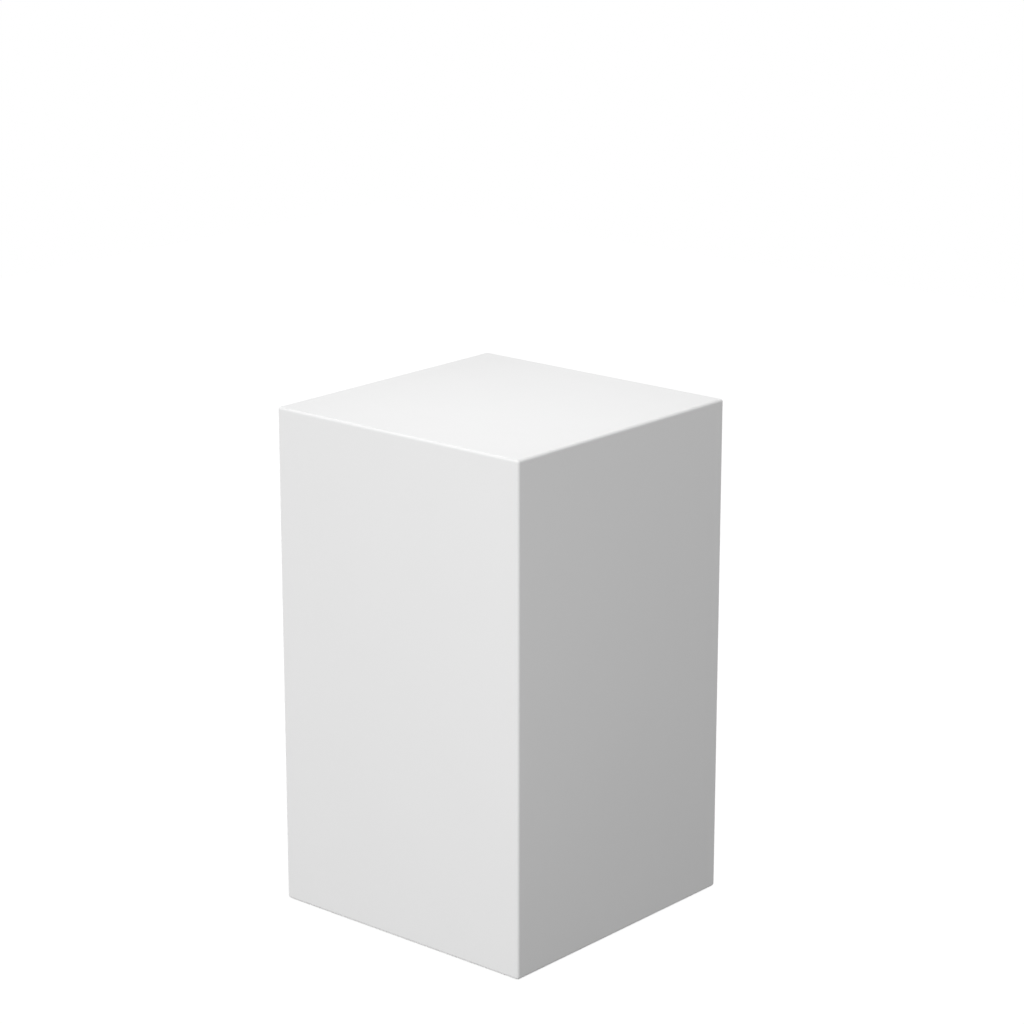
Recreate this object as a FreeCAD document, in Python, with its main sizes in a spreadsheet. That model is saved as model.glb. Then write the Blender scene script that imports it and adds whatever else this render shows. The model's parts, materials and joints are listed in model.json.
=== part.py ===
"""Display cube: a square, seamless display plinth of lacquered board.

Five mitred panels joined with biscuits make the box. Softwood posts and battens are glued into its inner
corners, and a recessed base panel, screwed to the lower battens, carries four levelling feet. Millimetres,
+Z up, origin on the floor under the middle of the plinth, front face towards -Y.
"""
import FreeCAD, Part
import os
import re

import Sketcher
from FreeCAD import Placement, Rotation, Vector

# Driving dimensions, in millimetres or counts.
SIZES = {
    # box
    "side_length": 450,
    "overall_height": 750,
    "panel_thickness": 18,
    "edge_radius": 4,
    "floor_gap": 1,
    # posts, battens and recessed base
    "batten_width": 25,
    "batten_arris": 3,
    "base_thickness": 18,
    "base_clearance": 0.5,
    # biscuits and their slots
    "biscuit_length": 53,
    "biscuit_width": 19,
    "biscuit_thickness": 4,
    "biscuit_end": 4,
    "heel_distance": 6,
    "slot_play": 0.5,
    "slot_clearance": 0.05,
    "corner_biscuit_count": 4,
    "corner_biscuit_margin": 100,
    "top_biscuit_count": 2,
    "top_biscuit_margin": 100,
    # pan-head screws in the base
    "screw_diameter": 4,
    "screw_head_diameter": 8.5,
    "screw_head_height": 2.4,
    "screw_grip": 17,
    "screw_clearance": 0.05,
    "screw_count": 2,
    "screw_margin": 90,
    # levelling feet
    "foot_inset": 55,
    "pad_diameter": 30,
    "pad_height": 10.5,
    "pad_floor": 2,
    "pad_lip": 3,
    "button_diameter": 12,
    "socket_clearance": 0.15,
    "neck_gap": 1,
    "hex_width": 13,
    "hex_height": 5,
    "stop_clearance": 0.2,
    "stem_diameter": 8,
    "stem_length": 25,
    # tee nuts
    "thread_clearance": 0.08,
    "barrel_diameter": 10,
    "barrel_length": 11,
    "barrel_clearance": 0.05,
    "flange_diameter": 22,
    "flange_thickness": 1.5,
    "prong_length": 7,
    "prong_width": 4,
    "prong_thickness": 1.4,
    "prong_inset": 0.8,
}

# Places worked out from the driving dimensions, as expressions.
OUTER = "(side_length / 2)"
INNER = f"({OUTER} - panel_thickness)"
PAST_OUTER = f"({OUTER} + panel_thickness)"
BATTEN_FACE = f"({INNER} - batten_width)"
BATTEN_MIDDLE = f"({INNER} - batten_width / 2)"
TOP_UNDERSIDE = "(overall_height - panel_thickness)"
PAST_TOP = "(overall_height + panel_thickness)"
BISCUIT_PLACE = f"({INNER} + heel_distance / sqrt(2))"
BISCUIT_LEVEL = f"({TOP_UNDERSIDE} + heel_distance / sqrt(2))"
FOOT_PLACE = f"({INNER} - foot_inset)"
HEX_UNDERSIDE = "(pad_height + neck_gap)"
FLANGE_UNDERSIDE = f"({HEX_UNDERSIDE} + hex_height + stop_clearance)"
BASE_UNDERSIDE = f"({FLANGE_UNDERSIDE} + flange_thickness)"
BASE_TOP = f"({BASE_UNDERSIDE} + base_thickness)"
SCREW_LENGTH = "(base_thickness + screw_grip)"

# Rows of biscuits and screws: place of the first one and distance to the last one.
CORNER_BISCUIT_FIRST = "(floor_gap + corner_biscuit_margin)"
CORNER_BISCUIT_RUN = f"({TOP_UNDERSIDE} - floor_gap - 2 * corner_biscuit_margin)"
TOP_BISCUIT_FIRST = f"(-({INNER} - top_biscuit_margin))"
TOP_BISCUIT_RUN = f"(2 * ({INNER} - top_biscuit_margin))"
SCREW_FIRST = f"(-({BATTEN_FACE} - screw_margin))"
SCREW_RUN = f"(2 * ({BATTEN_FACE} - screw_margin))"

SIDES = ("front", "right", "back", "left")
CORNERS = ("front_right", "back_right", "back_left", "front_left")
QUARTER_TURN = 90
MITRE_ANGLE = 45
SAME_POINT = 1e-6

# A point of the frame written in the axes of a sketch on each origin plane.
PLANE_AXES = {
    "XY_Plane": "{0}|{1}|{2}",
    "XZ_Plane": "{0}|{2}|-({1})",
    "YZ_Plane": "{1}|{2}|{0}",
}

doc = FreeCAD.newDocument("display_cube")
sheet = doc.addObject("Spreadsheet::Sheet", "Sizes")
for row_number, (size_name, size_value) in enumerate(SIZES.items(), start=1):
    sheet.set(f"A{row_number}", size_name)
    sheet.set(f"B{row_number}", str(size_value))
    sheet.setAlias(f"B{row_number}", size_name)
doc.recompute()


def bound(expression):
    """The expression with each size read from the sheet."""
    def cell(match):
        word = match.group()
        return f"Sizes.{word}" if word in SIZES else word
    return re.sub(r"[a-z_]+", cell, expression)


def bind(thing, name, expression):
    thing.setExpression(name, bound(expression))


def value(expression):
    return float(sheet.evalExpression(bound(expression)))


def new_body(label, turn=0):
    """A body modelled for the front side or corner, then turned about the upright axis to its own."""
    body = doc.addObject("PartDesign::Body", label)
    body.Label = label
    body.AllowCompound = True
    body.Placement = Placement(Vector(), Rotation(Vector(0, 0, 1), turn))
    return body


def origin_feature(body, role):
    return next(feature for feature in body.Origin.OriginFeatures if feature.Role == role)


def sketch_on(body, plane, place=("0", "0", "0"), turn=Rotation()):
    """A sketch parallel to an origin plane, or turned from it, with its own origin at the given place."""
    sketch = body.newObject("Sketcher::SketchObject", "Sketch")
    sketch.AttachmentSupport = [(origin_feature(body, plane), "")]
    sketch.MapMode = "FlatFace"
    sketch.AttachmentOffset = Placement(Vector(), turn)
    offsets = PLANE_AXES[plane].format(*place).split("|")
    for axis, expression in zip("xyz", offsets):
        bind(sketch, f"AttachmentOffset.Base.{axis}", expression)
    return sketch


def fix_point(sketch, geometry, vertex, place):
    """Hold one point of a sketch at the place given by two expressions."""
    for kind, expression in zip(("DistanceX", "DistanceY"), place):
        constraint = Sketcher.Constraint(kind, -1, 1, geometry, vertex, value(expression))
        number = sketch.addConstraint(constraint)
        bind(sketch, f"Constraints[{number}]", expression)


def vector(place):
    return Vector(value(place[0]), value(place[1]), 0)


def arc(sketch, start, through, end):
    """An arc through a fixed point, with the numbers of its first and last vertices."""
    number = sketch.addGeometry(Part.Arc(vector(start), vector(through), vector(end)))
    point = sketch.addGeometry(Part.Point(vector(through)), True)
    fix_point(sketch, point, 1, through)
    sketch.addConstraint(Sketcher.Constraint("PointOnObject", point, 1, number))
    starts_at_start = sketch.getPoint(number, 1).isEqual(vector(start), SAME_POINT)
    return (number, 1, 2) if starts_at_start else (number, 2, 1)


def outline(sketch, corners):
    """A closed outline of corners (x, y), or (x, y, (x, y)) where an arc through that point leads on."""
    edges = []
    for corner, following in zip(corners, corners[1:] + corners[:1]):
        if len(corner) == 3:
            edge = arc(sketch, corner, corner[2], following)
        else:
            edge = (sketch.addGeometry(Part.LineSegment(vector(corner), vector(following))), 1, 2)
        fix_point(sketch, edge[0], edge[1], corner)
        edges.append(edge)
    for edge, following in zip(edges, edges[1:] + edges[:1]):
        sketch.addConstraint(Sketcher.Constraint("Coincident", edge[0], edge[2], following[0], following[1]))


def rectangle(sketch, left, bottom, right, top):
    outline(sketch, [(left, bottom), (right, bottom), (right, top), (left, top)])


def circle(sketch, diameter):
    """A circle about the sketch's origin."""
    number = sketch.addGeometry(Part.Circle(Vector(), Vector(0, 0, 1), value(diameter) / 2))
    sketch.addConstraint(Sketcher.Constraint("Coincident", number, 3, -1, 1))
    constraint = sketch.addConstraint(Sketcher.Constraint("Diameter", number, value(diameter)))
    bind(sketch, f"Constraints[{constraint}]", diameter)


def extrude(body, kind, sketch, length, way="up"):
    """A pad or pocket along the sketch's normal (up), against it (down) or to both sides (both)."""
    feature = body.newObject(f"PartDesign::{kind}", kind)
    feature.Profile = sketch
    feature.SideType = "Symmetric" if way == "both" else "One side"
    feature.Reversed = (way == "down") == (kind == "Pad")
    bind(feature, "Length", length)
    return feature


def revolve(body, sketch):
    """A solid of revolution about the sketch's own upright axis."""
    feature = body.newObject("PartDesign::Revolution", "Revolution")
    feature.Profile = sketch
    feature.ReferenceAxis = (sketch, ["V_Axis"])
    return feature


def row(body, axis, run, count):
    pattern = body.newObject("PartDesign::LinearPattern", "Row")
    pattern.Direction = (origin_feature(body, axis), [""])
    bind(pattern, "Length", run)
    bind(pattern, "Occurrences", count)
    return pattern


def four_sides(body):
    pattern = body.newObject("PartDesign::PolarPattern", "FourSides")
    pattern.Axis = (origin_feature(body, "Z_Axis"), [""])
    pattern.Occurrences = len(SIDES)
    return pattern


def repeat(body, features, *patterns):
    """Repeat features by one or more patterns, each applied to the result of the one before."""
    repeated = body.newObject("PartDesign::MultiTransform", "Repeat")
    repeated.Originals = features
    repeated.Transformations = list(patterns)
    body.Tip = repeated


# Biscuits: lenses of beech across the mitres, near the inner heel where the board is deepest.

def lens(sketch, play):
    """Outline of a biscuit, or of its slot with play all round: length along x, width along y."""
    end = f"(biscuit_length / 2 + {play})"
    half_end = f"(biscuit_end / 2 + {play})"
    crown = f"(biscuit_width / 2 + {play})"
    outline(sketch, [
        (f"-{end}", f"-{half_end}", ("0", f"-{crown}")),
        (end, f"-{half_end}"),
        (end, half_end, ("0", crown)),
        (f"-{end}", half_end),
    ])


def corner_lens(body, hand, play):
    """Lens across the upright mitre at the right (hand 1) or left (hand -1) end of the front panel."""
    turn = Rotation(Vector(0, 1, 0), hand * MITRE_ANGLE) * Rotation(Vector(0, 0, 1), QUARTER_TURN)
    place = (f"{hand} * {BISCUIT_PLACE}", f"-{BISCUIT_PLACE}", CORNER_BISCUIT_FIRST)
    sketch = sketch_on(body, "XZ_Plane", place, turn)
    lens(sketch, play)
    return sketch


def top_lens(body, play):
    """Lens across the mitre between the front panel and the top panel."""
    place = (TOP_BISCUIT_FIRST, f"-{BISCUIT_PLACE}", BISCUIT_LEVEL)
    sketch = sketch_on(body, "XY_Plane", place, Rotation(Vector(1, 0, 0), MITRE_ANGLE))
    lens(sketch, play)
    return sketch


def biscuit(body, sketch):
    return extrude(body, "Pad", sketch, "biscuit_thickness", "both")


def slot(body, sketch):
    return extrude(body, "Pocket", sketch, "biscuit_thickness + 2 * slot_clearance", "both")


def corner_row(body):
    return row(body, "Z_Axis", CORNER_BISCUIT_RUN, "corner_biscuit_count")


def top_row(body):
    return row(body, "X_Axis", TOP_BISCUIT_RUN, "top_biscuit_count")


def corner_biscuits(label, turn):
    body = new_body(label, turn)
    repeat(body, [biscuit(body, corner_lens(body, 1, "0"))], corner_row(body))
    return body


def top_biscuits(label, turn):
    body = new_body(label, turn)
    repeat(body, [biscuit(body, top_lens(body, "0"))], top_row(body))
    return body


# Box panels: all cut from one block, because the outer edges are rounded after the mitres are glued.

def rounded_block(body):
    sketch = sketch_on(body, "XY_Plane", ("0", "0", "floor_gap"))
    rectangle(sketch, f"-{OUTER}", f"-{OUTER}", OUTER, OUTER)
    block = extrude(body, "Pad", sketch, "overall_height - floor_gap")
    doc.recompute()
    rounding = body.newObject("PartDesign::Fillet", "Rounding")
    rounding.Base = (block, ["Edge1"])
    rounding.UseAllEdges = True
    bind(rounding, "Radius", "edge_radius")


def side_panel(label, turn):
    """Board mitred at both upright edges and along its top."""
    body = new_body(label, turn)
    rounded_block(body)
    plan = sketch_on(body, "XY_Plane")
    outline(plan, [
        (f"-{PAST_OUTER}", f"-{PAST_OUTER}"),
        (f"-{INNER}", f"-{INNER}"),
        (INNER, f"-{INNER}"),
        (PAST_OUTER, f"-{PAST_OUTER}"),
        (PAST_OUTER, PAST_OUTER),
        (f"-{PAST_OUTER}", PAST_OUTER),
    ])
    extrude(body, "Pocket", plan, PAST_TOP)
    section = sketch_on(body, "YZ_Plane")
    heel = f"({INNER} - panel_thickness)"
    outline(section, [
        (f"-{PAST_OUTER}", PAST_TOP),
        (f"-{heel}", f"{TOP_UNDERSIDE} - panel_thickness"),
        (f"-{heel}", PAST_TOP),
    ])
    extrude(body, "Pocket", section, f"2 * {PAST_OUTER}", "both")
    for hand in (1, -1):
        repeat(body, [slot(body, corner_lens(body, hand, "slot_play"))], corner_row(body))
    repeat(body, [slot(body, top_lens(body, "slot_play"))], top_row(body))
    return body


def top_panel(label):
    """Board mitred along all four edges."""
    body = new_body(label)
    rounded_block(body)
    for plane in ("XZ_Plane", "YZ_Plane"):
        section = sketch_on(body, plane)
        outline(section, [
            (f"-{PAST_OUTER}", PAST_TOP),
            (f"-{INNER}", TOP_UNDERSIDE),
            (INNER, TOP_UNDERSIDE),
            (PAST_OUTER, PAST_TOP),
            (PAST_OUTER, "0"),
            (f"-{PAST_OUTER}", "0"),
        ])
        extrude(body, "Pocket", section, f"2 * {PAST_OUTER}", "both")
    repeat(body, [slot(body, top_lens(body, "slot_play"))], top_row(body), four_sides(body))
    return body


# Posts and battens: square softwood with the free arris taken off, glued into the inner corners.

def corner_post(label, turn):
    body = new_body(label, turn)
    sketch = sketch_on(body, "XY_Plane", ("0", "0", BASE_TOP))
    outline(sketch, [
        (BATTEN_FACE, f"-{INNER}"),
        (INNER, f"-{INNER}"),
        (INNER, f"-{BATTEN_FACE}"),
        (f"{BATTEN_FACE} + batten_arris", f"-{BATTEN_FACE}"),
        (BATTEN_FACE, f"-{BATTEN_FACE} - batten_arris"),
    ])
    extrude(body, "Pad", sketch, f"{TOP_UNDERSIDE} - {BASE_TOP}")
    return body


def batten(label, turn, glued_level, free_side):
    """Batten along the front, glued at a level, with its free face above (1) or below (-1) that level."""
    body = new_body(label, turn)
    free_level = f"({glued_level} + {free_side} * batten_width)"
    sketch = sketch_on(body, "YZ_Plane")
    outline(sketch, [
        (f"-{INNER}", glued_level),
        (f"-{BATTEN_FACE}", glued_level),
        (f"-{BATTEN_FACE}", f"{free_level} - {free_side} * batten_arris"),
        (f"-{BATTEN_FACE} - batten_arris", free_level),
        (f"-{INNER}", free_level),
    ])
    extrude(body, "Pad", sketch, f"2 * {BATTEN_FACE}", "both")
    return body


def top_batten(label, turn):
    return batten(label, turn, TOP_UNDERSIDE, -1)


def base_batten(label, turn):
    body = batten(label, turn, BASE_TOP, 1)
    repeat(body, [screw_hole(body)], screw_row(body))
    return body


# Recessed base with its screws.

def screw_sketch(body, diameter):
    """Circle about the first screw of the front row, on the underside of the base panel."""
    sketch = sketch_on(body, "XY_Plane", (SCREW_FIRST, f"-{BATTEN_MIDDLE}", BASE_UNDERSIDE))
    circle(sketch, diameter)
    return sketch


def screw_row(body):
    return row(body, "X_Axis", SCREW_RUN, "screw_count")


def screw_hole(body):
    sketch = screw_sketch(body, "screw_diameter + 2 * screw_clearance")
    return extrude(body, "Pocket", sketch, f"{SCREW_LENGTH} + screw_clearance")


def base_panel_screws(label):
    body = new_body(label)
    shank = extrude(body, "Pad", screw_sketch(body, "screw_diameter"), SCREW_LENGTH)
    head = extrude(body, "Pad", screw_sketch(body, "screw_head_diameter"), "screw_head_height", "down")
    repeat(body, [shank, head], screw_row(body), four_sides(body))
    return body


def base_panel(label, tee_nuts):
    """Board bored for the feet, with the tee nuts' prongs pressed into its underside."""
    board = new_body(f"{label}_board")
    sketch = sketch_on(board, "XY_Plane", ("0", "0", BASE_UNDERSIDE))
    edge = f"({INNER} - base_clearance)"
    rectangle(sketch, f"-{edge}", f"-{edge}", edge, edge)
    extrude(board, "Pad", sketch, "base_thickness")
    bore_sketch = foot_sketch(board, "XY_Plane", BASE_UNDERSIDE)
    circle(bore_sketch, "barrel_diameter + 2 * barrel_clearance")
    bore = extrude(board, "Pocket", bore_sketch, "base_thickness")
    repeat(board, [bore], four_sides(board))
    repeat(board, [screw_hole(board)], screw_row(board), four_sides(board))
    panel = doc.addObject("Part::Cut", label)
    panel.Label = label
    panel.Base = board
    panel.Tool = tee_nuts
    return panel


# Levelling feet: a tee nut in the base, a screw stem, and a pad that the stem's button turns in.

def foot_sketch(body, plane, level="0"):
    """Sketch about the axis of the front right foot."""
    return sketch_on(body, plane, (FOOT_PLACE, f"-{FOOT_PLACE}", level))


def foot_tee_nuts(label):
    """Flanged nuts with four prongs, driven up into the base panel so that the load seats them."""
    body = new_body(label)
    half_section = foot_sketch(body, "XZ_Plane", BASE_UNDERSIDE)
    bore = "(stem_diameter / 2 + thread_clearance)"
    outline(half_section, [
        (bore, "-flange_thickness"),
        ("flange_diameter / 2", "-flange_thickness"),
        ("flange_diameter / 2", "0"),
        ("barrel_diameter / 2", "0"),
        ("barrel_diameter / 2", "barrel_length"),
        (bore, "barrel_length"),
    ])
    nut = revolve(body, half_section)
    sketch = foot_sketch(body, "XY_Plane", BASE_UNDERSIDE)
    far = "(flange_diameter / 2 - prong_inset)"
    near = f"({far} - prong_thickness)"
    half = "(prong_width / 2)"
    rectangle(sketch, near, f"-{half}", far, half)
    rectangle(sketch, f"-{far}", f"-{half}", f"-{near}", half)
    rectangle(sketch, f"-{half}", near, half, far)
    rectangle(sketch, f"-{half}", f"-{far}", half, f"-{near}")
    prongs = extrude(body, "Pad", sketch, "prong_length")
    repeat(body, [nut, prongs], four_sides(body))
    return body


def foot_stem(label, turn):
    """Screw stem with a hexagon for the spanner and a button at its lower end."""
    body = new_body(label, turn)
    half_section = foot_sketch(body, "XZ_Plane")
    button_underside = "(pad_floor + socket_clearance)"
    button_top = "(pad_height - pad_lip - socket_clearance)"
    top = f"({HEX_UNDERSIDE} + hex_height + stem_length)"
    outline(half_section, [
        ("0", button_underside),
        ("button_diameter / 2", button_underside),
        ("button_diameter / 2", button_top),
        ("stem_diameter / 2", button_top),
        ("stem_diameter / 2", top),
        ("0", top),
    ])
    revolve(body, half_section)
    hexagon = foot_sketch(body, "XY_Plane", HEX_UNDERSIDE)
    point, flat = "(hex_width / sqrt(3))", "(hex_width / 2)"
    outline(hexagon, [
        (point, "0"),
        (f"{point} / 2", flat),
        (f"-{point} / 2", flat),
        (f"-{point}", "0"),
        (f"-{point} / 2", f"-{flat}"),
        (f"{point} / 2", f"-{flat}"),
    ])
    extrude(body, "Pad", hexagon, "hex_height")
    return body


def foot_pad(label, turn):
    """Round pad whose lip snaps over the stem's button."""
    body = new_body(label, turn)
    half_section = foot_sketch(body, "XZ_Plane")
    socket = "(button_diameter / 2 + socket_clearance)"
    mouth = "(stem_diameter / 2 + socket_clearance)"
    outline(half_section, [
        ("0", "0"),
        ("pad_diameter / 2", "0"),
        ("pad_diameter / 2", "pad_height"),
        (mouth, "pad_height"),
        (mouth, "pad_height - pad_lip"),
        (socket, "pad_height - pad_lip"),
        (socket, "pad_floor"),
        ("0", "pad_floor"),
    ])
    revolve(body, half_section)
    return body


def assemble():
    """Every piece of the plinth, in place."""
    pieces = [top_panel("top_panel")]
    for quarter, (side, corner) in enumerate(zip(SIDES, CORNERS)):
        turn = quarter * QUARTER_TURN
        pieces.append(side_panel(f"{side}_panel", turn))
        pieces.append(top_biscuits(f"top_biscuits_{side}", turn))
        pieces.append(top_batten(f"top_batten_{side}", turn))
        pieces.append(base_batten(f"base_batten_{side}", turn))
        pieces.append(corner_biscuits(f"corner_biscuits_{corner}", turn))
        pieces.append(corner_post(f"corner_post_{corner}", turn))
        pieces.append(foot_stem(f"foot_stem_{corner}", turn))
        pieces.append(foot_pad(f"foot_pad_{corner}", turn))
    tee_nuts = foot_tee_nuts("foot_tee_nuts")
    pieces.append(tee_nuts)
    pieces.append(base_panel("base_panel", tee_nuts))
    pieces.append(base_panel_screws("base_panel_screws"))
    return pieces


def check(pieces):
    """Stop if any object failed to compute, or if a piece has no sound shape."""
    for thing in doc.Objects:
        if "Invalid" in thing.State or "Error" in thing.State:
            raise RuntimeError(f"{thing.Label} failed: {thing.State}")
    for piece in pieces:
        if piece.Shape.isNull() or not piece.Shape.isValid() or not piece.Shape.Solids:
            raise RuntimeError(f"{piece.Label} has no sound shape")


def write(pieces):
    os.makedirs("parts", exist_ok=True)
    for piece in pieces:
        piece.Shape.exportStep(f"parts/{piece.Label}.step")
        print(piece.Label, len(piece.Shape.Solids), "solids", round(piece.Shape.Volume), "mm3")


plinth = assemble()
doc.recompute()
check(plinth)
write(plinth)
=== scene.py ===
"""Display cube: finishes, hardware, light and camera for a square plinth of lacquered board."""

import json
import math

import bmesh
import bpy
from mathutils import Matrix, Vector


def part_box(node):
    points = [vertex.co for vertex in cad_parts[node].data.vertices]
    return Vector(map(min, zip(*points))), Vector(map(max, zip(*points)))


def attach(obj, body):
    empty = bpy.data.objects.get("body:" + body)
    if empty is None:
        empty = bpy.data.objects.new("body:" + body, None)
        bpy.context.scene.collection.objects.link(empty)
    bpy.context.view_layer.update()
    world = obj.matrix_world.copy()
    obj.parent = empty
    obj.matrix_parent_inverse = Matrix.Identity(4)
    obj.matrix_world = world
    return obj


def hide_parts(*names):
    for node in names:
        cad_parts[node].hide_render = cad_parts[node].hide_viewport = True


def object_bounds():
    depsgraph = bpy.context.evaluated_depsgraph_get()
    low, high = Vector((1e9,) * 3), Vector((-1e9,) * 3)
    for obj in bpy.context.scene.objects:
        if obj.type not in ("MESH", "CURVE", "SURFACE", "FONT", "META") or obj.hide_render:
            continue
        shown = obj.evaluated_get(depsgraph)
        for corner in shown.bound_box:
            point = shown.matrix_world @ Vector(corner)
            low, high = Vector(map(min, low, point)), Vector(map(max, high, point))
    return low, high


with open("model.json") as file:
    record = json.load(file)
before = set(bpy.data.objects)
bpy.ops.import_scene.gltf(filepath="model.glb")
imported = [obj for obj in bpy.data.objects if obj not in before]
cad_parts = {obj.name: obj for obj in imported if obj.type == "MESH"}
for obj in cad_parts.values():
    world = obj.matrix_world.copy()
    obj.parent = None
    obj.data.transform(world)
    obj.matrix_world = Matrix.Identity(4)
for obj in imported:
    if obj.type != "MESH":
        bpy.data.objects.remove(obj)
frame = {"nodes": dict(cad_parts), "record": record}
cad_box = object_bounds()

MM = 0.001
QUARTERS = 4
QUARTER_TURN = math.pi / 2
SIXTH_TURN = math.pi / 3
CORNERS = ("front_right", "back_right", "back_left", "front_left")

# Box: what the lacquer needs to know of the panels.
EDGE_RADIUS = 4 * MM
LACQUER_DEPTH = 0.6 * MM
OVERSPRAY_REACH = 9 * MM
OVERSPRAY_SOFTNESS = 0.3 * OVERSPRAY_REACH
OVERSPRAY_COVER = 0.9
BARE_ROUGHNESS = 0.85

# Colours of the finishes.
LACQUER_WHITES = (0.852, 0.852, 0.852, 1), (0.868, 0.868, 0.868, 1)
FIBRE_BROWNS = (0.33, 0.225, 0.135, 1), (0.52, 0.38, 0.245, 1)
BOARD_CLOUDS = (0.60, 0.45, 0.30, 1)
EARLY_WOOD = (0.74, 0.55, 0.34, 1)
LATE_WOOD = (0.52, 0.31, 0.14, 1)
WOOD_PORES = (0.84, 0.68, 0.46, 1)
BEECH = (0.66, 0.45, 0.29, 1)
BEECH_FLECKS = (0.38, 0.22, 0.12, 1)
BEECH_LATTICE = (0.78, 0.58, 0.40, 1)
ZINC_TINTS = (0.60, 0.63, 0.68, 1), (0.70, 0.68, 0.62, 1)
NYLON = (0.030, 0.030, 0.032, 1)
NYLON_SCUFFS = (0.11, 0.11, 0.11, 1)

# Growth rings of the softwood: how far off the pith runs, and how far the rings wander.
PITH_OFFSET = (0.031, 0.083, 0)
RING_WANDER = (0.02, 0.02, 0)

# Pan-head screws in the base, with levels from the underside of the board.
SCREW_MARGIN = 90 * MM
SCREWS_PER_SIDE = 2
SCREW_HEAD_RADIUS = 4.25 * MM
SCREW_CREST_RADIUS = 2 * MM
SCREW_PITCH = 1.8 * MM
SCREW_THREAD_DEPTH = 0.6 * MM
SCREW_THREAD_START = 10 * MM
SCREW_TIP_LENGTH = 5 * MM
SCREW_TIP_RADIUS = 0.15 * MM
SCREW_TIP_ROWS = 20

# Head of a screw: dome and flank as shares of its height, dome points as shares of its radius and the dome.
DOME_SHARE = 0.35
FLANK_SHARE = 0.45
DOME_POINTS = ((0.5, 0), (0.75, 0.25), (0.9, 1))
RECESS_REACH = 2.3 * MM
RECESS_WIDTH = 0.9 * MM
RECESS_DEPTH = 1.6 * MM
RECESS_TAPER = 0.3

# Levelling feet, with levels from the floor.
STEM_RADIUS = 4 * MM
STEM_PITCH = 1.25 * MM
STEM_THREAD_DEPTH = 0.65 * MM
HEX_WIDTH = 13 * MM
HEX_HEIGHT = 5 * MM
HEX_CHAMFER = 0.6 * MM
HEX_CHAMFER_REACH = 1.2 * MM
HEX_UNDERSIDE = 11.5 * MM
BUTTON_RADIUS = 6 * MM
BUTTON_ROUNDING = 0.8 * MM
BUTTON_LEVELS = (2.15 * MM, 7.35 * MM)
PAD_FLOOR = 2 * MM
PAD_LIP = 3 * MM
SOCKET_CLEARANCE = 0.15 * MM
PAD_ROUNDING = 1 * MM
PAD_MOUTH_CHAMFER = 0.5 * MM
PAD_PLAIN_SHARE = 0.3
PAD_FLUTES = 24
PAD_FLUTE_DEPTH = 0.5 * MM
PAD_GROOVES = (6 * MM, 9 * MM, 12 * MM)
PAD_GROOVE_WIDTH = 1 * MM
PAD_GROOVE_DEPTH = 0.5 * MM
PAD_GROOVE_SLOPE = 0.2 * MM

# Tee nuts.
FLANGE_RADIUS = 11 * MM
FLANGE_THICKNESS = 1.5 * MM
FLANGE_ROUNDING = 0.4 * MM
BARREL_RADIUS = 5 * MM
BARREL_LENGTH = 11 * MM
NUT_BORE = 4.08 * MM
PRONG_FACES = (8.8 * MM, 10.2 * MM)
PRONG_WIDTH = 4 * MM
PRONG_LENGTH = 7 * MM
PRONG_SHOULDER = 0.45 * PRONG_LENGTH
PRONG_TIP_WIDTH = 0.8 * MM
CHORD_WIDTH = 1.1 * PRONG_WIDTH

# Flanks of all threads: steeper than 1 leaves flats at crest and root.
THREAD_STEEPNESS = 1.4

# Fineness of the turned meshes, and the bend in degrees that makes an edge sharp.
TURN_STEPS = 96
SCREW_TURN_STEPS = 48
THREAD_STEPS = 10
ROUNDING_STEPS = 4
SHARP_ANGLE = 35

# Camera and light, in degrees, metres and watts, with the lens in millimetres.
CAMERA_AZIMUTH = 40.84
CAMERA_ELEVATION = 16.02
CAMERA_DISTANCE = 4.581
CAMERA_AIM_RIGHT = 0.0146
CAMERA_AIM_UP = 0.2049
FOCAL_LENGTH = 110.68
SENSOR_WIDTH = 36
SOFTBOXES = {
    "key": {"azimuth": 0.6, "elevation": 1.2, "distance": 4.41, "size": 0.8, "power": 78.6},
    "side": {"azimuth": 64.0, "elevation": 5.8, "distance": 1.0, "size": 0.6, "power": 0.46},
    "overhead": {"azimuth": 30.3, "elevation": 81.4, "distance": 1.32, "size": 0.6, "power": 3.4},
    "rear": {"azimuth": 240.0, "elevation": 8.0, "distance": 6.0, "size": 2.0, "power": 90},
}
SKY_LIGHT = 0.656
SKY_GLOW = 1.0
FLOOR_LIGHT = 0.01
UNDERSIDE_LIGHT = 0.5
FLOOR_GLOW = 0.95
FLOOR_GREY = (0.1, 0.1, 0.1, 1)
FLOOR_SIZE = 8
FLOOR_DROP = 0.1 * MM
# Painted contact shadow: the floor's glow in view is dimmed by ambient occlusion close under the plinth's
# rim.
CONTACT_REACH = 12 * MM
CONTACT_OPENING = 0.15
CONTACT_GLOW = 0.25
CONTACT_SAMPLES = 8


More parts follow.
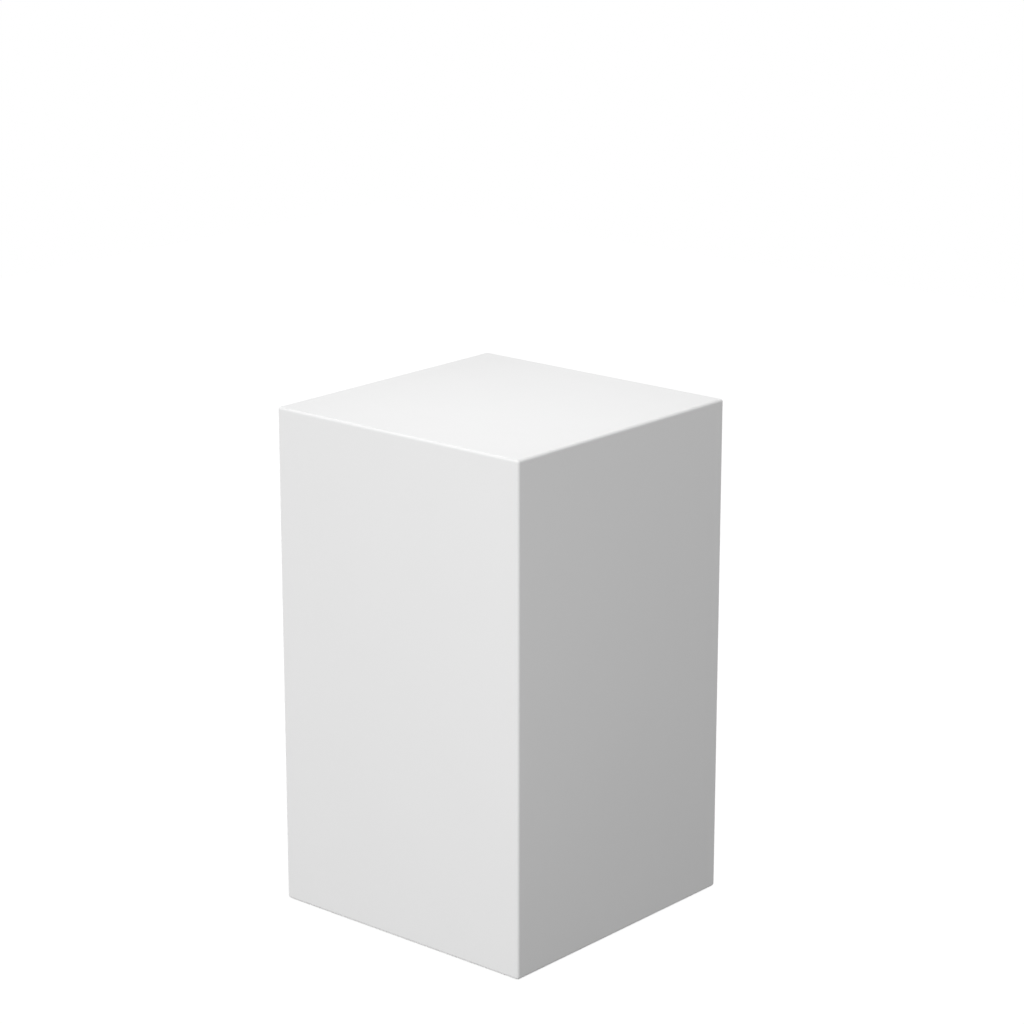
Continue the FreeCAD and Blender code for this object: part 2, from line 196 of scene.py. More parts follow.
class Nodes:
    """Short calls that add linked nodes to one tree."""

    def __init__(self, tree):
        self.tree = tree

    def add(self, kind, inputs=None, **settings):
        """A node with its settings, and with inputs by name or number: sockets are linked, values are set."""
        node = self.tree.nodes.new(kind)
        for name, value in settings.items():
            setattr(node, name, value)
        for key, value in (inputs or {}).items():
            self.feed(value, node.inputs[key])
        return node

    def feed(self, value, entry):
        """Link a socket to an input, or set the input to a value."""
        if isinstance(value, bpy.types.NodeSocket):
            self.tree.links.new(value, entry)
        else:
            entry.default_value = value

    def math(self, operation, *values, **settings):
        return self.add("ShaderNodeMath", dict(enumerate(values)), operation=operation, **settings).outputs[0]

    def vector(self, operation, *values):
        return self.add("ShaderNodeVectorMath", dict(enumerate(values)), operation=operation).outputs[0]

    def length(self, vector):
        return self.add("ShaderNodeVectorMath", {0: vector}, operation="LENGTH").outputs["Value"]

    def scaled(self, vector, factor):
        return self.add("ShaderNodeVectorMath", {0: vector, "Scale": factor}, operation="SCALE").outputs[0]

    def split(self, vector):
        return self.add("ShaderNodeSeparateXYZ", {0: vector}).outputs

    def joined(self, x=0, y=0, z=0):
        return self.add("ShaderNodeCombineXYZ", {0: x, 1: y, 2: z}).outputs[0]

    def between(self, factor, first, second):
        """A number between two numbers."""
        return self.add("ShaderNodeMix", {0: factor, 2: first, 3: second}).outputs[0]

    def ramped(self, value, low, high):
        """The value's share of the way from low to high, clipped and eased."""
        node = self.add("ShaderNodeMapRange", {0: value, 1: low, 2: high}, interpolation_type="SMOOTHSTEP")
        return node.outputs[0]


# Finishes.

class Finish(Nodes):
    """A material with one surface shader, patterned on object coordinates."""

    def __init__(self, name):
        self.material = bpy.data.materials.new(name)
        self.material.use_nodes = True
        super().__init__(self.material.node_tree)
        self.shader = self.tree.nodes["Principled BSDF"]
        self.place = self.add("ShaderNodeTexCoord").outputs["Object"]

    def set(self, **values):
        """Feed the shader's inputs, named with underscores for spaces."""
        for name, value in values.items():
            self.feed(value, self.shader.inputs[name.replace("_", " ")])

    def stretched(self, scale=(1, 1, 1), turn=(0, 0, 0)):
        inputs = {"Vector": self.place, "Scale": scale, "Rotation": turn}
        return self.add("ShaderNodeMapping", inputs).outputs[0]

    def noise(self, scale, detail, place=None, distortion=0):
        inputs = {"Vector": place or self.place, "Scale": scale, "Detail": detail, "Distortion": distortion}
        return self.add("ShaderNodeTexNoise", inputs).outputs[0]

    def waves(self, place, scale, distortion=0, detail=2, **settings):
        inputs = {"Vector": place, "Scale": scale, "Distortion": distortion, "Detail": detail}
        return self.add("ShaderNodeTexWave", inputs, **settings).outputs[0]

    def blend(self, factor, first, second, most=None):
        """A colour between two colours, going at most so far towards the second."""
        if most is not None:
            factor = self.math("MULTIPLY", factor, most)
        return self.add("ShaderNodeMix", {0: factor, 6: first, 7: second}, data_type="RGBA").outputs[2]

    def varied(self, pattern, start, change):
        """A number that changes from its start as a pattern goes from 0 to 1."""
        return self.math("MULTIPLY_ADD", pattern, change, start)

    def bump(self, height, distance, strength):
        inputs = {"Height": height, "Distance": distance, "Strength": strength}
        self.feed(self.add("ShaderNodeBump", inputs).outputs[0], self.shader.inputs["Normal"])


def depth_under_lacquer(finish, wall_foot):
    """Signed distance from the rounded outside of the box, negative inside the board."""
    low, high = cad_box
    middle = Vector(((low.x + high.x) / 2, (low.y + high.y) / 2, (wall_foot + high.z) / 2))
    core = high - middle - Vector.Fill(3, EDGE_RADIUS)
    from_middle = finish.vector("ABSOLUTE", finish.vector("SUBTRACT", finish.place, middle))
    past_core = finish.vector("SUBTRACT", from_middle, core)
    outside = finish.length(finish.vector("MAXIMUM", past_core, (0, 0, 0)))
    x, y, z = finish.split(past_core)
    inside = finish.math("MINIMUM", finish.math("MAXIMUM", finish.math("MAXIMUM", x, y), z), 0)
    return finish.math("SUBTRACT", finish.math("ADD", outside, inside), EDGE_RADIUS)


def fibreboard_colour(finish):
    """Sanded fibreboard, fine fibres of several browns with soft clouds, and the pattern of the fibres."""
    lengthwise = finish.stretched(scale=(1, 0.35, 1), turn=(0, 0, 0.6))
    fibres = finish.noise(scale=420, detail=6, place=lengthwise, distortion=0.8)
    clouds = finish.noise(scale=9, detail=3)
    brown = finish.blend(finish.ramped(fibres, low=0.32, high=0.68), *FIBRE_BROWNS)
    return finish.blend(clouds, brown, BOARD_CLOUDS, most=0.35), fibres


def white_lacquered_board():
    """Satin white lacquer on the outside of the panels, bare board inside and overspray round the foot."""
    finish = Finish("white_lacquered_board")
    wall_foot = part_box("front_panel")[0].z
    coat = finish.math("GREATER_THAN", depth_under_lacquer(finish, wall_foot), -LACQUER_DEPTH)
    height = finish.split(finish.place)[2]
    mist = finish.varied(finish.noise(scale=260, detail=4), start=wall_foot, change=OVERSPRAY_REACH)
    under_mist = finish.math("SUBTRACT", mist, height)
    spray = finish.ramped(under_mist, low=-OVERSPRAY_SOFTNESS, high=OVERSPRAY_SOFTNESS)
    cover = finish.math("MAXIMUM", coat, finish.math("MULTIPLY", spray, OVERSPRAY_COVER))
    white = finish.blend(finish.noise(scale=7, detail=3), *LACQUER_WHITES)
    board, fibres = fibreboard_colour(finish)
    satin = finish.varied(finish.noise(scale=30, detail=4), start=0.36, change=0.10)
    peel = finish.noise(scale=380, detail=1)
    finish.set(
        Base_Color=finish.blend(cover, board, white),
        Roughness=finish.between(cover, BARE_ROUGHNESS, satin),
        Specular_IOR_Level=0.5,
    )
    finish.bump(finish.between(cover, fibres, peel), distance=0.02 * MM, strength=0.5)
    return finish.material


def raw_board():
    """Bare sanded fibreboard."""
    finish = Finish("raw_board")
    board, fibres = fibreboard_colour(finish)
    finish.set(
        Base_Color=board,
        Roughness=finish.varied(fibres, start=0.75, change=0.15),
        Specular_IOR_Level=0.3,
    )
    finish.bump(fibres, distance=0.05 * MM, strength=0.6)
    return finish.material


def planed_softwood(name, turn):
    """Pine with its growth rings along one axis, which the turn brings upright."""
    finish = Finish(f"planed_softwood_{name}")
    stem = finish.stretched(scale=(1, 1, 0.06), turn=turn)
    wander = finish.vector("MULTIPLY", finish.noise(scale=14, detail=3, place=stem), RING_WANDER)
    place = finish.vector("ADD", finish.vector("ADD", stem, PITH_OFFSET), wander)
    rings = finish.waves(place, scale=75, distortion=1.5, detail=2,
                         wave_type="RINGS", rings_direction="Z", wave_profile="SAW")
    pores = finish.noise(scale=900, detail=3, place=stem)
    late = finish.ramped(rings, low=0.35, high=0.95)
    wood = finish.blend(late, EARLY_WOOD, LATE_WOOD)
    finish.set(
        Base_Color=finish.blend(pores, wood, WOOD_PORES, most=0.3),
        Roughness=finish.varied(late, start=0.62, change=-0.1),
        Specular_IOR_Level=0.35,
    )
    finish.bump(finish.math("ADD", rings, pores), distance=0.04 * MM, strength=0.6)
    return finish.material


def pressed_beech():
    """Beech biscuit stock: dark flecks in pinkish wood and a pressed lattice."""
    finish = Finish("pressed_beech")
    flecks = finish.noise(scale=500, detail=3, place=finish.stretched(scale=(1, 1, 0.2)))
    lattice = [
        finish.waves(finish.stretched(turn=(0, 0, turn)), scale=110,
                     wave_type="BANDS", bands_direction="DIAGONAL")
        for turn in (0, QUARTER_TURN)
    ]
    pressed = finish.math("MINIMUM", *lattice)
    wood = finish.blend(finish.ramped(flecks, low=0.55, high=0.7), BEECH, BEECH_FLECKS)
    finish.set(
        Base_Color=finish.blend(pressed, wood, BEECH_LATTICE, most=0.25),
        Roughness=finish.varied(flecks, start=0.55, change=0.2),
    )
    finish.bump(pressed, distance=0.2 * MM, strength=0.7)
    return finish.material


def zinc_plated_steel():
    """Bright zinc plate with a faint blue and straw passivation and drawn scratches."""
    finish = Finish("zinc_plated_steel")
    bloom = finish.noise(scale=180, detail=3, distortion=0.6)
    scratches = finish.noise(scale=2500, detail=2, place=finish.stretched(scale=(1, 1, 0.08)))
    finish.set(
        Base_Color=finish.blend(finish.ramped(bloom, low=0.35, high=0.65), *ZINC_TINTS),
        Metallic=1.0,
        Roughness=finish.varied(scratches, start=0.22, change=0.2),
    )
    finish.bump(scratches, distance=0.01 * MM, strength=0.5)
    return finish.material


def black_nylon():
    """Moulded nylon with a spark-eroded grain, paler where it has been scuffed."""
    finish = Finish("black_nylon")
    grain = finish.noise(scale=1600, detail=3)
    scuffs = finish.ramped(finish.noise(scale=140, detail=5, distortion=1.2), low=0.56, high=0.72)
    finish.set(
        Base_Color=finish.blend(scuffs, NYLON, NYLON_SCUFFS, most=0.5),
        Roughness=finish.varied(scuffs, start=0.46, change=0.2),
    )
    finish.bump(grain, distance=0.03 * MM, strength=0.8)
    return finish.material


def dress_nodes(finishes):
    """Give each piece of the frame the finish of its slot, with wood grain along its length."""
    for subpart in frame["record"]["subparts"]:
        name = subpart["node"]
        finish = finishes[subpart["material_slot"]]
        if subpart["material_slot"] == "planed_softwood":
            low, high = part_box(name)
            lengths = list(high - low)
            finish = finish["xyz"[lengths.index(max(lengths))]]
        for slot in frame["nodes"][name].material_slots:
            slot.material = finish


# Turned pieces and threads.

def quarter_round(middle_radius, middle_height, rounding, start, end):
    """Profile points on an arc, with its angles in degrees from the outward direction."""
    points = []
    for step in range(ROUNDING_STEPS + 1):
        angle = math.radians(start + (end - start) * step / ROUNDING_STEPS)
        out, rise = rounding * math.cos(angle), rounding * math.sin(angle)
        points.append((middle_radius + out, middle_height + rise))
    return points


def turned(profile, form=None, closed=False, steps=TURN_STEPS):
    """A shape turned about the upright axis from (radius, height) points, up its outside from the foot.

    A point with a third entry takes its radius from the form, a rule that gives the radius at each angle.
    """
    shape = bmesh.new()
    rings = []
    for radius, height, *formed in profile:
        if radius == 0:
            rings.append([shape.verts.new((0, 0, height))])
            continue
        ring = []
        for step in range(steps):
            angle = 2 * math.pi * step / steps
            reach = form(radius, angle) if formed else radius
            ring.append(shape.verts.new((reach * math.cos(angle), reach * math.sin(angle), height)))
        rings.append(ring)
    following = rings[1:] + rings[:1] if closed else rings[1:]
    for lower, upper in zip(rings, following):
        for step in range(steps):
            after = (step + 1) % steps
            corners = [lower[step % len(lower)], lower[after % len(lower)],
                       upper[after % len(upper)], upper[step % len(upper)]]
            shape.faces.new(list(dict.fromkeys(corners)))
    return shape


def shank_rows(radius, start, end, pitch):
    """Profile points up a shank, close enough together to carry a thread."""
    count = math.ceil((end - start) / pitch * THREAD_STEPS)
    return [(radius, start + (end - start) * row / count) for row in range(count + 1)]


def piece(name, shape):
    """An object from a finished shape, smooth except at its sharp edges."""
    mesh = bpy.data.meshes.new(name)
    shape.to_mesh(mesh)
    shape.free()
    thing = bpy.data.objects.new(name, mesh)
    bpy.context.scene.collection.objects.link(thing)
    mesh.shade_smooth()
    mesh.set_sharp_from_angle(angle=math.radians(SHARP_ANGLE))
    return thing


class Shaping(Nodes):
    """A geometry tree with named inputs for its sizes."""

    def __init__(self, name, **sizes):
        super().__init__(bpy.data.node_groups.new(name, "GeometryNodeTree"))
        add_socket = self.tree.interface.new_socket
        add_socket("Geometry", in_out="INPUT", socket_type="NodeSocketGeometry")
        add_socket("Geometry", in_out="OUTPUT", socket_type="NodeSocketGeometry")
        for size, kind in sizes.items():
            add_socket(size, in_out="INPUT", socket_type=f"NodeSocket{kind}")
        add_socket("Finish", in_out="INPUT", socket_type="NodeSocketMaterial")
        self.given = self.add("NodeGroupInput").outputs

    def end(self, geometry):
        """Realize what is left as instances, set the finish and close the tree."""
        real = self.add("GeometryNodeRealizeInstances", {0: geometry}).outputs[0]
        done = self.add("GeometryNodeSetMaterial", {"Geometry": real, "Material": self.given["Finish"]})
        self.add("NodeGroupOutput", {0: done.outputs[0]})
        return self.tree


def thread_tree():
    """Cuts a helical thread into the shank between two levels, running out at both ends."""
    tree = Shaping("cut_thread", Pitch="Float", Depth="Float", Start="Float", End="Float")
    given = tree.given
    position = tree.add("GeometryNodeInputPosition").outputs[0]
    x, y, z = tree.split(position)
    turns = tree.math("DIVIDE", tree.math("ARCTAN2", y, x), 2 * math.pi)
    phase = tree.math("FRACT", tree.math("SUBTRACT", tree.math("DIVIDE", z, given["Pitch"]), turns))
    ridge = tree.math("ABSOLUTE", tree.math("MULTIPLY_ADD", phase, 2, -1))
    flats = (1 - THREAD_STEEPNESS) / 2
    groove = tree.math("MULTIPLY_ADD", ridge, THREAD_STEEPNESS, flats, use_clamp=True)
    run_in = tree.math("DIVIDE", tree.math("SUBTRACT", z, given["Start"]), given["Pitch"], use_clamp=True)
    run_out = tree.math("DIVIDE", tree.math("SUBTRACT", given["End"], z), given["Pitch"], use_clamp=True)
    share = tree.math("MULTIPLY", groove, tree.math("MINIMUM", run_in, run_out))
    cut = tree.math("MULTIPLY", share, given["Depth"])
    outwards = tree.vector("NORMALIZE", tree.vector("MULTIPLY", position, (1, 1, 0)))
    inwards = tree.scaled(outwards, tree.math("MULTIPLY", cut, -1))
    threaded = tree.add("GeometryNodeSetPosition", {"Geometry": given["Geometry"], "Offset": inwards})
    return tree.end(threaded.outputs[0])


def recess_tree():
    """Cuts a tapered cross recess into the underside of a screw head."""
    tree = Shaping("cross_recess", Reach="Float", Width="Float", Depth="Float", Level="Float")
    given = tree.given
    span, width = tree.math("MULTIPLY", given["Reach"], 2), given["Width"]
    height = tree.math("MULTIPLY", given["Depth"], 2)
    arms = tree.add("GeometryNodeJoinGeometry")
    for along, across in ((span, width), (width, span)):
        arm = tree.add("GeometryNodeMeshCube", {"Size": tree.joined(along, across, height)})
        tree.feed(arm.outputs[0], arms.inputs[0])
    position = tree.add("GeometryNodeInputPosition").outputs[0]
    depth_share = tree.math("DIVIDE", tree.split(position)[2], given["Depth"])
    taper = tree.math("MULTIPLY_ADD", depth_share, -RECESS_TAPER, 1 - RECESS_TAPER)
    narrowed = tree.vector("MULTIPLY", position, tree.joined(taper, taper, 1))
    tapered = tree.add("GeometryNodeSetPosition", {"Geometry": arms.outputs[0], "Position": narrowed})
    raised = {"Geometry": tapered.outputs[0], "Translation": tree.joined(z=given["Level"])}
    cutter = tree.add("GeometryNodeTransform", raised).outputs[0]
    meshes = {"Mesh 1": given["Geometry"], "Mesh 2": cutter, "Self Intersection": True}
    cut = tree.add("GeometryNodeMeshBoolean", meshes, operation="DIFFERENCE", solver="EXACT")
    return tree.end(cut.outputs[0])


def quarter_turns_tree():
    """Sets copies in a row on one side of the plinth, and the row on all four sides."""
    tree = Shaping("quarter_turns", Count="Int", First="Vector", Step="Vector")
    given = tree.given
    line = {"Count": given["Count"], "Start Location": given["First"], "Offset": given["Step"]}
    row = tree.add("GeometryNodeMeshLine", line).outputs[0]
    copies = {"Points": row, "Instance": given["Geometry"]}
    side = tree.add("GeometryNodeInstanceOnPoints", copies).outputs[0]
    turn = tree.math("MULTIPLY", tree.add("GeometryNodeInputIndex").outputs[0], QUARTER_TURN)
    rotation = tree.add("FunctionNodeAxisAngleToRotation", {"Axis": (0, 0, 1), "Angle": turn}).outputs[0]
    middle = tree.add("GeometryNodePoints", {"Count": QUARTERS}).outputs[0]
    turned_sides = {"Points": middle, "Instance": side, "Rotation": rotation}
    return tree.end(tree.add("GeometryNodeInstanceOnPoints", turned_sides).outputs[0])


def shaped(thing, tree, finish, **sizes):
    """Run a geometry tree on a piece and keep the result as its plain mesh."""
    modifier = thing.modifiers.new(tree.name, "NODES")
    modifier.node_group = tree
    values = {**sizes, "Finish": finish}
    for item in tree.interface.items_tree:
        if item.in_out == "INPUT" and item.name in values:
            modifier[item.identifier] = values[item.name]
    graph = bpy.context.evaluated_depsgraph_get()
    mesh = bpy.data.meshes.new_from_object(thing.evaluated_get(graph), depsgraph=graph)
    thing.modifiers.clear()
    thing.data = mesh


def settle(thing, body, slot, *nodes):
    """Let a finished piece stand for its nodes of the frame."""
    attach(thing, body)
    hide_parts(*nodes)


# Hardware.

def pan_head_screw(length, head_height):
    """One screw with its head below the origin, its thread and cross recess still to be cut."""
    dome = DOME_SHARE * head_height
    profile = [(0, -head_height)]
    profile += [(out * SCREW_HEAD_RADIUS, -head_height + rise * dome) for out, rise in DOME_POINTS]
    profile += [(SCREW_HEAD_RADIUS, -FLANK_SHARE * head_height), (SCREW_HEAD_RADIUS, 0)]
    profile += [(SCREW_CREST_RADIUS, 0)]
    tip_start = length - SCREW_TIP_LENGTH
    profile += shank_rows(SCREW_CREST_RADIUS, SCREW_THREAD_START - SCREW_PITCH, tip_start, SCREW_PITCH)
    for row in range(1, SCREW_TIP_ROWS + 1):
        share = row / SCREW_TIP_ROWS
        radius = SCREW_CREST_RADIUS + (SCREW_TIP_RADIUS - SCREW_CREST_RADIUS) * share
        profile.append((radius, tip_start + SCREW_TIP_LENGTH * share))
    profile.append((0, length))
    return piece("base_panel_screws_detailed", turned(profile, steps=SCREW_TURN_STEPS))


def base_panel_screws(trees, finish):
    """Wood screws up through the base panel into its battens."""
    low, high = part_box("base_panel_screws")
    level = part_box("base_panel")[0].z
    length = high.z - level
    screw = pan_head_screw(length, level - low.z)
    shaped(screw, trees["thread"], finish, Pitch=SCREW_PITCH, Depth=SCREW_THREAD_DEPTH,
           Start=SCREW_THREAD_START, End=length - SCREW_TIP_LENGTH / 2)
    shaped(screw, trees["recess"], finish, Reach=RECESS_REACH, Width=RECESS_WIDTH, Depth=RECESS_DEPTH,
           Level=low.z - level)
    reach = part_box("base_batten_front")[1].x - SCREW_MARGIN
    shaped(screw, trees["quarter_turns"], finish, Count=SCREWS_PER_SIDE,
           First=(-reach, low.y + SCREW_HEAD_RADIUS, level), Step=(2 * reach, 0, 0))
    settle(screw, "carcase", "zinc_plated_steel", "base_panel_screws")


def chord_cut(radius, angle):
    """Flange rim with a straight cut at each of the four prongs."""
    off_prong = (angle + QUARTER_TURN / 2) % QUARTER_TURN - QUARTER_TURN / 2
    if PRONG_FACES[1] * math.tan(abs(off_prong)) > CHORD_WIDTH / 2:
        return radius
    return min(radius, PRONG_FACES[1] / math.cos(off_prong))


def add_prong(shape, turn):
    """A pointed tab bent up from the rim of the flange."""
    half, tip, foot = PRONG_WIDTH / 2, PRONG_TIP_WIDTH / 2, -FLANGE_THICKNESS / 2
    outline = [(-half, foot), (half, foot), (half, PRONG_SHOULDER),
               (tip, PRONG_LENGTH), (-tip, PRONG_LENGTH), (-half, PRONG_SHOULDER)]
    rotation = Matrix.Rotation(turn, 4, "Z")
    near, far = ([shape.verts.new(rotation @ Vector((face, across, height))) for across, height in outline]
                 for face in PRONG_FACES)
    shape.faces.new(far)
    shape.faces.new(near[::-1])
    for corner in range(len(outline)):
        after = (corner + 1) % len(outline)
        shape.faces.new((near[corner], near[after], far[after], far[corner]))


def foot_tee_nuts(trees, finish):
    """Flanged nuts in the base panel, one over each pad, with their prongs driven into the board."""
    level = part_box("base_panel")[0].z
    low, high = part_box("foot_pad_front_right")
    middle = (low + high) / 2
    edge = FLANGE_RADIUS - FLANGE_ROUNDING
    lower = quarter_round(edge, -FLANGE_THICKNESS + FLANGE_ROUNDING, FLANGE_ROUNDING, start=-90, end=0)
    profile = [(NUT_BORE + FLANGE_ROUNDING, -FLANGE_THICKNESS)]
    profile += [(radius, height, "rim") for radius, height in lower]
    profile += [(FLANGE_RADIUS, 0, "rim"), (BARREL_RADIUS, 0)]
    profile += [(BARREL_RADIUS, BARREL_LENGTH - FLANGE_ROUNDING)]
    profile += [(BARREL_RADIUS - FLANGE_ROUNDING, BARREL_LENGTH), (NUT_BORE, BARREL_LENGTH)]
    profile += [(NUT_BORE, -FLANGE_THICKNESS + FLANGE_ROUNDING)]
    shape = turned(profile, chord_cut, closed=True)
    for quarter in range(QUARTERS):
        add_prong(shape, quarter * QUARTER_TURN)
    nuts = piece("foot_tee_nuts_detailed", shape)
    shaped(nuts, trees["quarter_turns"], finish, Count=1, First=(middle.x, middle.y, level), Step=(0, 0, 0))
    settle(nuts, "carcase", "zinc_plated_steel", "foot_tee_nuts")


def hexagon(radius, angle):
    """Radius of a hexagon across its flats, or of the round that turns off its corners."""
    return min(radius, HEX_WIDTH / 2 / math.cos(angle % SIXTH_TURN - SIXTH_TURN / 2))


def foot_stem(corner, trees, finish):
    """Threaded stem with a chamfered hexagon above its button."""
    node = f"foot_stem_{corner}"
    low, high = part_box(node)
    middle = (low + high) / 2
    foot, crown = BUTTON_LEVELS
    inner = BUTTON_RADIUS - BUTTON_ROUNDING
    profile = [(0, foot)]
    profile += quarter_round(inner, foot + BUTTON_ROUNDING, BUTTON_ROUNDING, start=-90, end=0)
    profile += quarter_round(inner, crown - BUTTON_ROUNDING, BUTTON_ROUNDING, start=0, end=90)
    profile += [(STEM_RADIUS, crown), (STEM_RADIUS, HEX_UNDERSIDE)]
    corner_radius = HEX_WIDTH / math.sqrt(3)
    face = corner_radius - HEX_CHAMFER_REACH
    hex_top = HEX_UNDERSIDE + HEX_HEIGHT
    profile += [(face, HEX_UNDERSIDE, "hex"), (corner_radius, HEX_UNDERSIDE + HEX_CHAMFER, "hex")]
    profile += [(corner_radius, hex_top - HEX_CHAMFER, "hex"), (face, hex_top, "hex")]
    profile += shank_rows(STEM_RADIUS, hex_top, high.z, STEM_PITCH)
    profile += [(0, high.z)]
    stem = piece(f"{node}_detailed", turned(profile, hexagon))
    shaped(stem, trees["thread"], finish, Pitch=STEM_PITCH, Depth=STEM_THREAD_DEPTH,
           Start=hex_top + STEM_PITCH, End=high.z)
    stem.data.transform(Matrix.Translation((middle.x, middle.y, 0)))
    settle(stem, f"stem_{corner}", "zinc_plated_steel", node)


def fluted(radius, angle):
    """Radius of a flank with shallow round flutes."""
    return radius - PAD_FLUTE_DEPTH * (1 + math.cos(PAD_FLUTES * angle)) / 2


def foot_pad(corner, finish):
    """Moulded pad: grooves underneath, a fluted flank and a lip over the stem's button."""
    node = f"foot_pad_{corner}"
    low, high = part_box(node)
    middle = (low + high) / 2
    radius, top = high.x - middle.x, high.z
    socket, mouth = BUTTON_RADIUS + SOCKET_CLEARANCE, STEM_RADIUS + SOCKET_CLEARANCE
    profile = [(0, 0)]
    for groove in PAD_GROOVES:
        inner, outer = groove - PAD_GROOVE_WIDTH / 2, groove + PAD_GROOVE_WIDTH / 2
        profile += [(inner, 0), (inner + PAD_GROOVE_SLOPE, PAD_GROOVE_DEPTH)]
        profile += [(outer - PAD_GROOVE_SLOPE, PAD_GROOVE_DEPTH), (outer, 0)]
    rim = radius - PAD_ROUNDING
    profile += quarter_round(rim, PAD_ROUNDING, PAD_ROUNDING, start=-90, end=0)
    shoulder = PAD_PLAIN_SHARE * top
    profile += [(radius, shoulder), (radius, shoulder + PAD_FLUTE_DEPTH, "flutes")]
    profile += [(radius, top - PAD_ROUNDING - PAD_FLUTE_DEPTH, "flutes")]
    profile += quarter_round(rim, top - PAD_ROUNDING, PAD_ROUNDING, start=0, end=90)
    profile += [(mouth + PAD_MOUTH_CHAMFER, top), (mouth, top - PAD_MOUTH_CHAMFER), (mouth, top - PAD_LIP)]
    profile += [(socket, top - PAD_LIP), (socket, PAD_FLOOR), (0, PAD_FLOOR)]
    pad = piece(f"{node}_detailed", turned(profile, fluted))
    pad.data.materials.append(finish)
    pad.data.transform(Matrix.Translation((middle.x, middle.y, 0)))
    settle(pad, f"pad_{corner}", "black_nylon", node)


# Studio.

def seen_rays(nodes):
    """1 for the rays that show the background itself, in view, in metal or through glass."""
    path = nodes.add("ShaderNodeLightPath").outputs
    shown = nodes.math("MAXIMUM", path["Is Camera Ray"], path["Is Glossy Ray"])
    return nodes.math("MAXIMUM", shown, path["Is Transmission Ray"])


def studio_world():
    """Even white light from all round, and a white background."""
    world = bpy.data.worlds.new("studio")
    world.use_nodes = True
    bpy.context.scene.world = world
    nodes = Nodes(world.node_tree)
    background = world.node_tree.nodes["Background"]
    background.inputs["Color"].default_value = (1, 1, 1, 1)
    nodes.feed(nodes.between(seen_rays(nodes), SKY_LIGHT, SKY_GLOW), background.inputs["Strength"])


def floor_strength(nodes):
    """The floor's own light: white in view but for a shade under the rim, and a lamp for the underside."""
    x, y, _ = nodes.split(nodes.add("ShaderNodeTexCoord").outputs["Object"])
    from_middle = nodes.math("MAXIMUM", nodes.math("ABSOLUTE", x), nodes.math("ABSOLUTE", y))
    beneath = nodes.math("LESS_THAN", from_middle, cad_box[1].x - EDGE_RADIUS)
    light = nodes.between(beneath, FLOOR_LIGHT, UNDERSIDE_LIGHT)
    # Painted shade: ambient occlusion darkens the glow that is seen, making a contact shadow at the plinth's
    # foot.
    contact = nodes.add("ShaderNodeAmbientOcclusion", {"Distance": CONTACT_REACH}, samples=CONTACT_SAMPLES)
    lit_share = nodes.ramped(contact.outputs["AO"], low=0, high=CONTACT_OPENING)
    seen = nodes.between(lit_share, CONTACT_GLOW, FLOOR_GLOW)
    return nodes.between(seen_rays(nodes), light, seen)


def studio_floor():
    """White floor that keeps the plinth's shadow, lights its underside and is clear from underneath."""
    half = FLOOR_SIZE / 2
    level = cad_box[0].z - FLOOR_DROP
    corners = [(-half, -half, level), (half, -half, level), (half, half, level), (-half, half, level)]
    mesh = bpy.data.meshes.new("floor")
    mesh.from_pydata(corners, [], [(0, 1, 2, 3)])
    floor = bpy.data.objects.new("floor", mesh)
    bpy.context.scene.collection.objects.link(floor)
    material = bpy.data.materials.new("studio_floor")
    material.use_nodes = True
    material.node_tree.nodes.clear()
    nodes = Nodes(material.node_tree)
    emission = nodes.add("ShaderNodeEmission", {"Strength": floor_strength(nodes)}).outputs[0]
    diffuse = nodes.add("ShaderNodeBsdfDiffuse", {"Color": FLOOR_GREY}).outputs[0]
    lit = nodes.add("ShaderNodeAddShader", {0: emission, 1: diffuse}).outputs[0]
    under = nodes.add("ShaderNodeNewGeometry").outputs["Backfacing"]
    clear = nodes.add("ShaderNodeBsdfTransparent").outputs[0]
    surface = nodes.add("ShaderNodeMixShader", {0: under, 1: lit, 2: clear}).outputs[0]
    nodes.add("ShaderNodeOutputMaterial", {"Surface": surface})
    mesh.materials.append(material)


def aimed(thing, eye, target):
    """Set a lamp or camera at the eye, looking at the target."""
    thing.location = eye
    thing.rotation_euler = (target - eye).to_track_quat("-Z", "Y").to_euler()
    bpy.context.scene.collection.objects.link(thing)


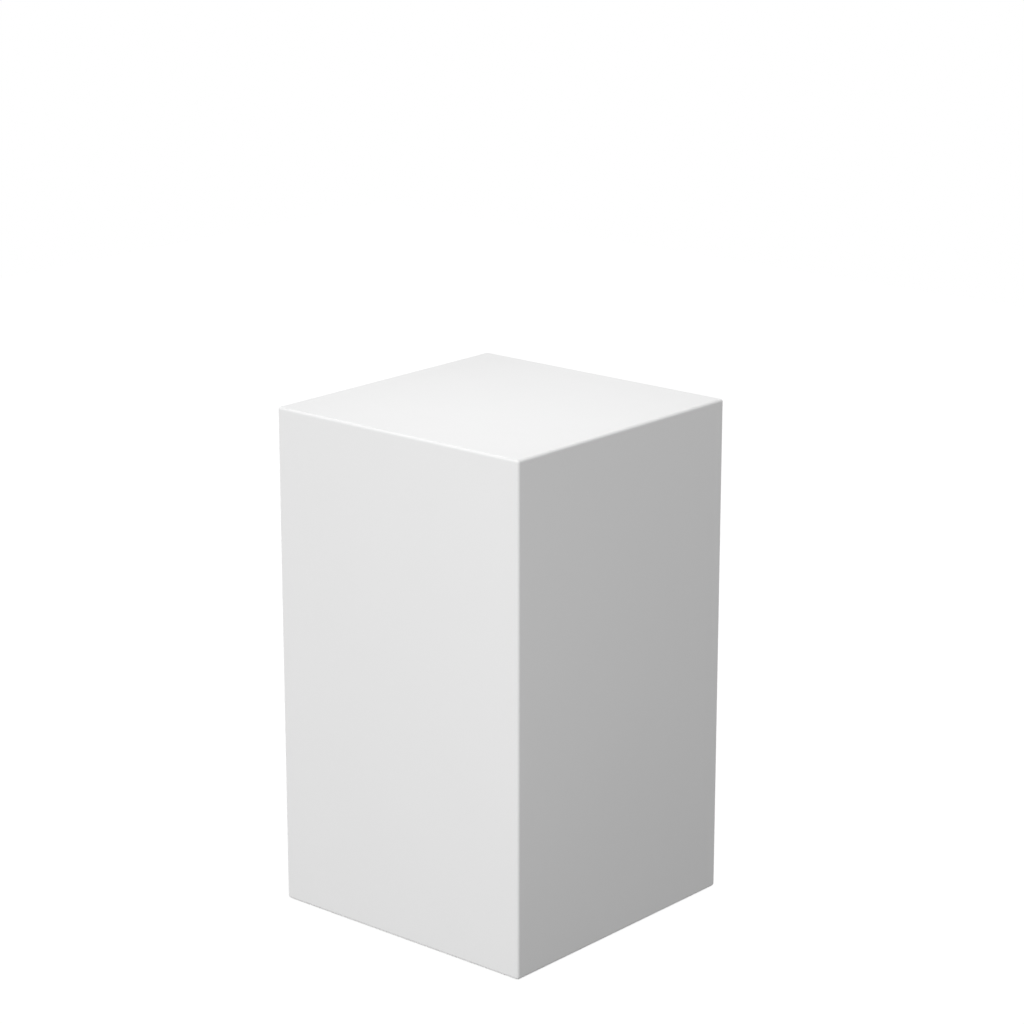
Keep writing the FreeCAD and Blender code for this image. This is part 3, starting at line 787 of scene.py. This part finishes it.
def direction(azimuth, elevation):
    """Direction as seen from the plinth, in degrees from the front towards the right, and upwards."""
    azimuth, elevation = math.radians(azimuth), math.radians(elevation)
    level = math.cos(elevation)
    return Vector((math.sin(azimuth) * level, -math.cos(azimuth) * level, math.sin(elevation)))


def softbox(name, target, azimuth, elevation, distance, size, power):
    """A round soft light that shows neither in view nor in reflections."""
    data = bpy.data.lights.new(name, "AREA")
    data.shape = "DISK"
    data.size = size
    data.energy = power
    light = bpy.data.objects.new(name, data)
    light.visible_camera = False
    light.visible_glossy = False
    aimed(light, target + distance * direction(azimuth, elevation), target)


def camera(target):
    """Camera at the photograph's angle, aimed beside and above the target."""
    back = direction(CAMERA_AZIMUTH, CAMERA_ELEVATION)
    right = direction(CAMERA_AZIMUTH + 90, 0)
    aim = target + CAMERA_AIM_RIGHT * right + CAMERA_AIM_UP * back.cross(right)
    data = bpy.data.cameras.new("camera")
    data.lens = FOCAL_LENGTH
    data.sensor_width = SENSOR_WIDTH
    view = bpy.data.objects.new("camera", data)
    aimed(view, aim + CAMERA_DISTANCE * back, aim)
    bpy.context.scene.camera = view


def build():
    """The dressed plinth in its studio."""
    finishes = {
        "white_lacquered_board": white_lacquered_board(),
        "raw_board": raw_board(),
        "planed_softwood": {
            "x": planed_softwood("x", (0, QUARTER_TURN, 0)),
            "y": planed_softwood("y", (QUARTER_TURN, 0, 0)),
            "z": planed_softwood("z", (0, 0, 0)),
        },
        "pressed_beech": pressed_beech(),
        "zinc_plated_steel": zinc_plated_steel(),
        "black_nylon": black_nylon(),
    }
    dress_nodes(finishes)
    trees = {"thread": thread_tree(), "recess": recess_tree(), "quarter_turns": quarter_turns_tree()}
    steel = finishes["zinc_plated_steel"]
    base_panel_screws(trees, steel)
    foot_tee_nuts(trees, steel)
    for corner in CORNERS:
        foot_stem(corner, trees, steel)
        foot_pad(corner, finishes["black_nylon"])
    low, high = cad_box
    middle = (low + high) / 2
    studio_world()
    studio_floor()
    for name, setting in SOFTBOXES.items():
        softbox(f"{name}_softbox", middle, **setting)
    camera(middle)
    bpy.context.scene.view_settings.view_transform = "Standard"


build()
